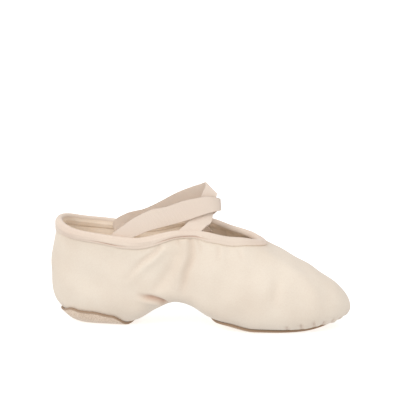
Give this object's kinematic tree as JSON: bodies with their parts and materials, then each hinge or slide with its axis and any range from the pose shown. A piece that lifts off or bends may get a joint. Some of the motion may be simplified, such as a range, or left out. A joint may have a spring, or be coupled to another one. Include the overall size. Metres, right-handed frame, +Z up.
{
  "type": "soft ballet slipper",
  "caption": "Soft split-sole canvas ballet slipper for the right foot, with a bound collar, crossed elastic straps and suede sole patches, standing empty.",
  "frame": {"origin": "on the floor, at the middle of the flat spot under the heel", "axes": "+X runs forward to the toe, +Y to the inner side of the right foot, +Z up"},
  "size_m": [0.231, 0.0738, 0.1105],
  "materials": {
    "canvas": "matt stretch canvas",
    "binding": "matt woven tape",
    "elastic": "matt ribbed elastic",
    "suede": "napped suede",
    "lining": "matt cotton lining"
  },
  "bodies": {
    "root": {"upper": "canvas", "collar_binding": "binding", "elastic_strap_over": "elastic", "elastic_strap_under": "elastic", "heel_sole": "suede", "forefoot_sole": "suede", "heel_insole": "lining", "forefoot_insole": "lining"}
  },
  "joints": []
}
